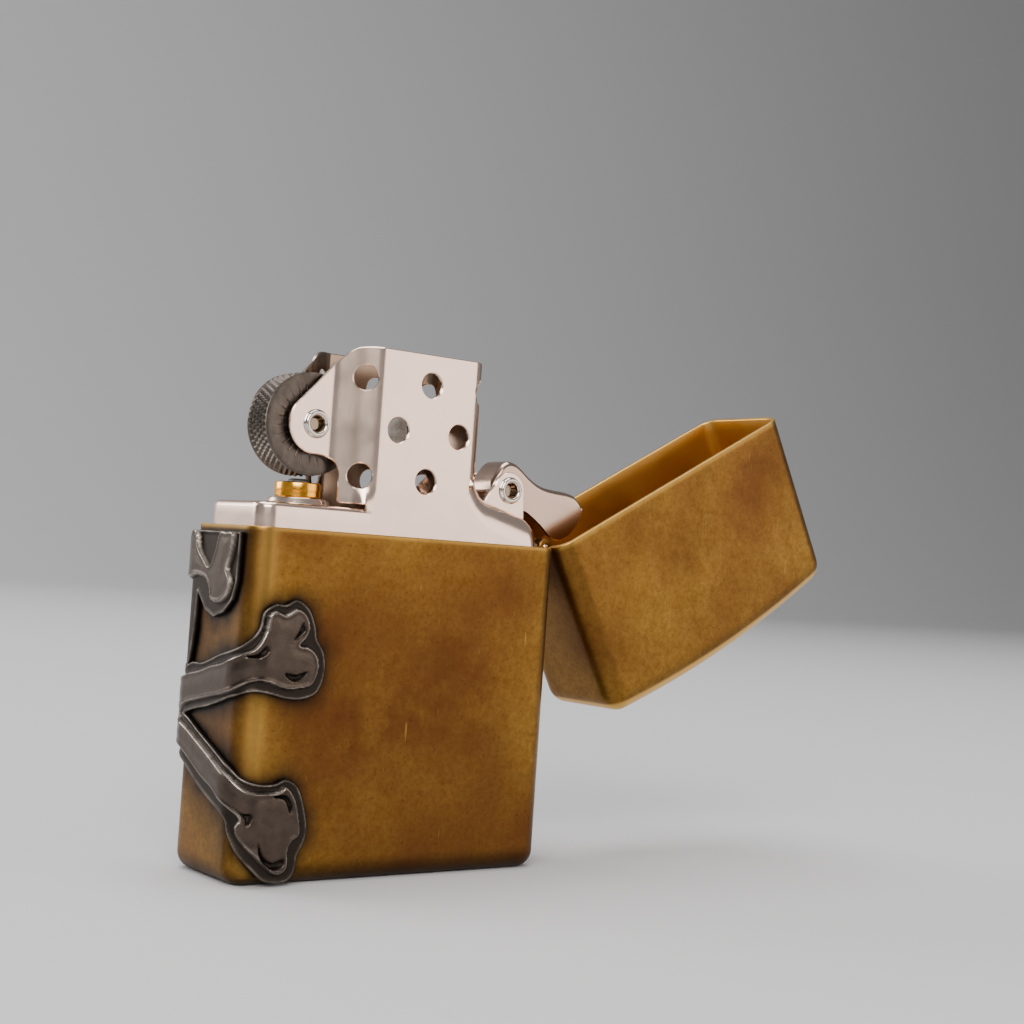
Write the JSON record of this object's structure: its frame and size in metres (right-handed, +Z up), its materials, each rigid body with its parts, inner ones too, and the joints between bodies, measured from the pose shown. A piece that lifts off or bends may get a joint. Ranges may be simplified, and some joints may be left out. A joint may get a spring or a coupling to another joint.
{
  "type": "flip-top fluid lighter",
  "caption": "Pocket fluid lighter in brass with a hinged lid, a lift-out chimney insert, a spark wheel, a snap cam and a cast bone emblem.",
  "frame": {"origin": "centre of the case's flat base, on the surface it stands on", "axes": "+Z up along the case, +X towards the lid's hinge, +Y towards the emblem's front face; the lid stands fully open"},
  "size_m": [0.0822, 0.0148, 0.0543],
  "materials": {
    "aged_brass": "aged satin brass",
    "bright_brass": "machined brass",
    "nickel": "satin nickel plate on steel",
    "dark_steel": "hardened, dark",
    "antique_pewter": "cast, antique nickel plate",
    "flint_grey": "ferrocerium",
    "cotton": "loose cotton",
    "felt": "felt"
  },
  "bodies": {
    "case": {"case_body": "aged_brass", "case_hinge_leaf": "aged_brass", "hinge_pin": "nickel", "emblem": "antique_pewter"},
    "lid": {"lid": "aged_brass", "lid_hinge_leaf": "aged_brass"},
    "insert": {"insert_shell": "nickel", "wheel_rivet": "nickel", "cam_rivet": "nickel", "cam_spring": "nickel", "spring_rivet": "nickel", "flint_tube": "bright_brass", "wick": "cotton", "cotton_wad_1": "cotton", "cotton_wad_2": "cotton", "cotton_wad_3": "cotton", "cotton_wad_4": "cotton", "cotton_wad_5": "cotton", "felt_pad": "felt"},
    "wheel": {"flint_wheel": "dark_steel"},
    "cam": {"cam_lever": "nickel"},
    "flint": {"flint": "flint_grey", "spring_tip": "bright_brass"},
    "spring": {"flint_spring": "nickel"},
    "screw": {"flint_screw": "bright_brass"}
  },
  "joints": [
    {"name": "lid_hinge", "type": "hinge", "parent": "case", "child": "lid", "pos_m": [0.01913, 0, 0.0352], "axis": [0, 1, 0], "range_deg": [-151.5, 0]},
    {"name": "insert_lift", "type": "slide", "parent": "case", "child": "insert", "axis": [0, 0, 1], "range_m": [0, 0.045]},
    {"name": "wheel_spin", "type": "hinge", "parent": "insert", "child": "wheel", "pos_m": [-0.0109, 0, 0.0459], "axis": [0, 1, 0], "continuous": true},
    {"name": "cam_pivot", "type": "hinge", "parent": "insert", "child": "cam", "pos_m": [0.0143, 0, 0.0411], "axis": [0, 1, 0], "range_deg": [-106, 0], "deforming": ["cam_spring"]},
    {"name": "flint_feed", "type": "slide", "parent": "insert", "child": "flint", "axis": [0, 0, 1], "range_m": [-0.003, 0], "stiffness_N_per_m": 150, "springref_m": 0.004, "deforming": ["flint_spring"]},
    {"name": "screw_travel", "type": "slide", "parent": "insert", "child": "spring", "axis": [0, 0, 1], "range_m": [-0.0005, 0]},
    {"name": "screw_turn", "type": "hinge", "parent": "spring", "child": "screw", "pos_m": [-0.0108, 0, 0.002], "axis": [0, 0, 1], "range_deg": [-361, 0]}
  ],
  "couplings": [
    {"joint": "cam_pivot", "follows": "lid_hinge", "ratio": 0.693},
    {"joint": "screw_turn", "follows": "screw_travel", "rad_per_m": 12566}
  ]
}
